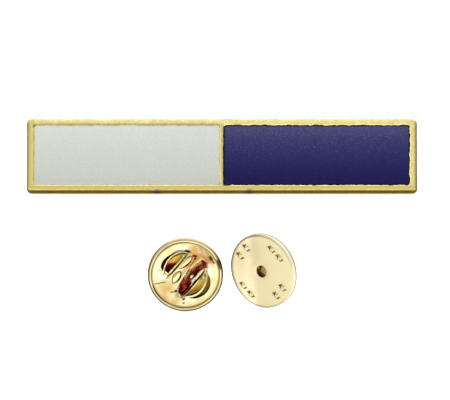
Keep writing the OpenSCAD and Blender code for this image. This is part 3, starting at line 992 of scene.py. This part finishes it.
def makeClutchWings(name, place, node, side):
    bm = pressPlate()
    for f in bm.faces:
        f.material_index = 1 if isUnderside(f.calc_center_median()) else 0
    for wing, turn in ((1, 0), (-1, pi)):
        for wall in (bendInnerWall(wing), bendOuterWall(wing)):
            addShape(bm, wall, Matrix.Rotation(turn, 4, "Z"), material=1)
    stain(bm, side)
    piece = finishPiece(name, bm, place, springGilt, node, sharp=45)
    piece.data.materials.append(wingGilt)


# Where the clutches stand: the distances in front of the bar, the gap between them and their turns
layout = {
    "gapX": 0.7, "gap": 1.0, "leftAhead": 60.5, "rightAhead": 59.8,
    "leftRoll": -40, "rightRoll": -7, "rightYaw": 34,
}
edgeY = floorZ / tan(lean)
leftX = layout["gapX"] - layout["gap"] / 2 - cap["radius"]
rightX = layout["gapX"] + layout["gap"] / 2 + cap["radius"] * cos(radians(layout["rightYaw"]))


def clutchPlace(x, ahead, turn, roll):
    stand = Matrix.Translation((x, edgeY - ahead, floorZ + cap["radius"]))
    facing = Matrix.Rotation(radians(turn), 4, "Z") @ Matrix.Rotation(radians(90), 4, "X")
    return stand @ facing @ Matrix.Rotation(radians(roll), 4, "Z")


leftPlace = clutchPlace(leftX, layout["leftAhead"], 0, layout["leftRoll"])
rightPlace = clutchPlace(rightX, layout["rightAhead"], 180 - layout["rightYaw"], layout["rightRoll"])
makeClutchCap("leftCap", leftPlace, "left_clutch_cap", cap["outlines"]["left"])
makeClutchCap("rightCap", rightPlace, "right_clutch_cap", cap["outlines"]["right"])
makeClutchWings("leftWings", leftPlace, "left_clutch_wings", 1)
makeClutchWings("rightWings", rightPlace, "right_clutch_wings", -1)
print("clutches")


# Camera, light and floor

view = {
    "elevation": 16.85, "distance": 2600, "pixelsPerMm": 6.508, "frameWidth": 450, "sensor": 36,
    "target": (0.46, -33.0, 3.23),
}


def makeCamera():
    data = bpy.data.cameras.new("camera")
    data.sensor_width = view["sensor"]
    data.lens = view["sensor"] * view["distance"] * view["pixelsPerMm"] / view["frameWidth"]
    data.clip_start, data.clip_end = 0.01, 20
    camera = bpy.data.objects.new("camera", data)
    back = Vector((0, -cos(radians(view["elevation"])), sin(radians(view["elevation"]))))
    camera.location = (Vector(view["target"]) + back * view["distance"]) * mm
    camera.rotation_mode = "QUATERNION"
    camera.rotation_quaternion = (-back).to_track_quat("-Z", "Y")
    bpy.context.scene.collection.objects.link(camera)
    bpy.context.scene.camera = camera


def makeFloor():
    bm = bmesh.new()
    bmesh.ops.create_circle(bm, cap_ends=True, segments=96, radius=3000 * mm)
    bm.transform(Matrix.Translation((0, 0, floorZ * mm)))
    mesh = bpy.data.meshes.new("floor")
    bm.to_mesh(mesh)
    bm.free()
    material, tree = newMaterial("whitePaperFloor")
    # white paper on a glowing table, so that shadows stay faint
    addSurface(tree, {
        "Base Color": hexColour("#FAFAF8"), "Roughness": 0.9, "Specular IOR Level": 0.1,
        "Emission Color": hexColour("#FFFFFF"), "Emission Strength": 0.6})
    mesh.materials.append(material)
    floor = bpy.data.objects.new("floor", mesh)
    bpy.context.scene.collection.objects.link(floor)


def addSoftbox(name, position, size, power, target=(0, 0, 0)):
    data = bpy.data.lights.new(name, "AREA")
    data.shape, data.size, data.size_y, data.energy = "RECTANGLE", size[0] * mm, size[1] * mm, power
    light = bpy.data.objects.new(name, data)
    light.location = Vector(position) * mm
    light.visible_camera = False
    light.rotation_mode = "QUATERNION"
    light.rotation_quaternion = (Vector(target) - Vector(position)).to_track_quat("-Z", "Y")
    bpy.context.scene.collection.objects.link(light)


# Pale studio with some darker places, which polished metal needs to show its shape.
# Each is an azimuth (0 behind the bar, 90 to the right, 180 behind the camera), an elevation,
# the angles where it starts to fade and where it has gone, and how much light is left in it.
sky = {
    "level": 1.6,
    "places": {
        "darkRight": (108, 14, 18, 40, 0.25),
        "dimAbove": (180, 58, 16, 50, 0.58),
        "darkLeft": (-50, 12, 20, 40, 0.14),
    },
}


def makeWorld():
    world = bpy.data.worlds.new("studio")
    bpy.context.scene.world = world
    world.use_nodes = True
    tree = world.node_tree
    tree.nodes.clear()
    direction = addNode(tree, "ShaderNodeTexCoord").outputs["Generated"]
    level = sky["level"]
    for azimuth, elevation, inner, outer, left in sky["places"].values():
        a, e = radians(azimuth), radians(elevation)
        axis = (sin(a) * cos(e), cos(a) * cos(e), sin(e))
        near = addNode(tree, "ShaderNodeVectorMath", {0: direction, 1: axis}, operation="DOT_PRODUCT")
        fade = addNode(tree, "ShaderNodeMapRange", {
            "Value": near.outputs["Value"], "From Min": cos(radians(outer)),
            "From Max": cos(radians(inner)), "To Min": 1.0, "To Max": left},
            interpolation_type="SMOOTHSTEP")
        level = addNode(tree, "ShaderNodeMath", {
            0: fade.outputs["Result"], 1: level}, operation="MULTIPLY").outputs["Value"]
    shade = addNode(tree, "ShaderNodeBackground", {"Color": hexColour("#FFFFFF"), "Strength": level})
    addNode(tree, "ShaderNodeOutputWorld", {"Surface": shade.outputs["Background"]})


makeCamera()
makeFloor()
makeWorld()
addSoftbox("topStrip", (0, 10, 42), (110, 12), 0.005)
bpy.context.scene.view_settings.view_transform = "Standard"
print("camera, floor and light")
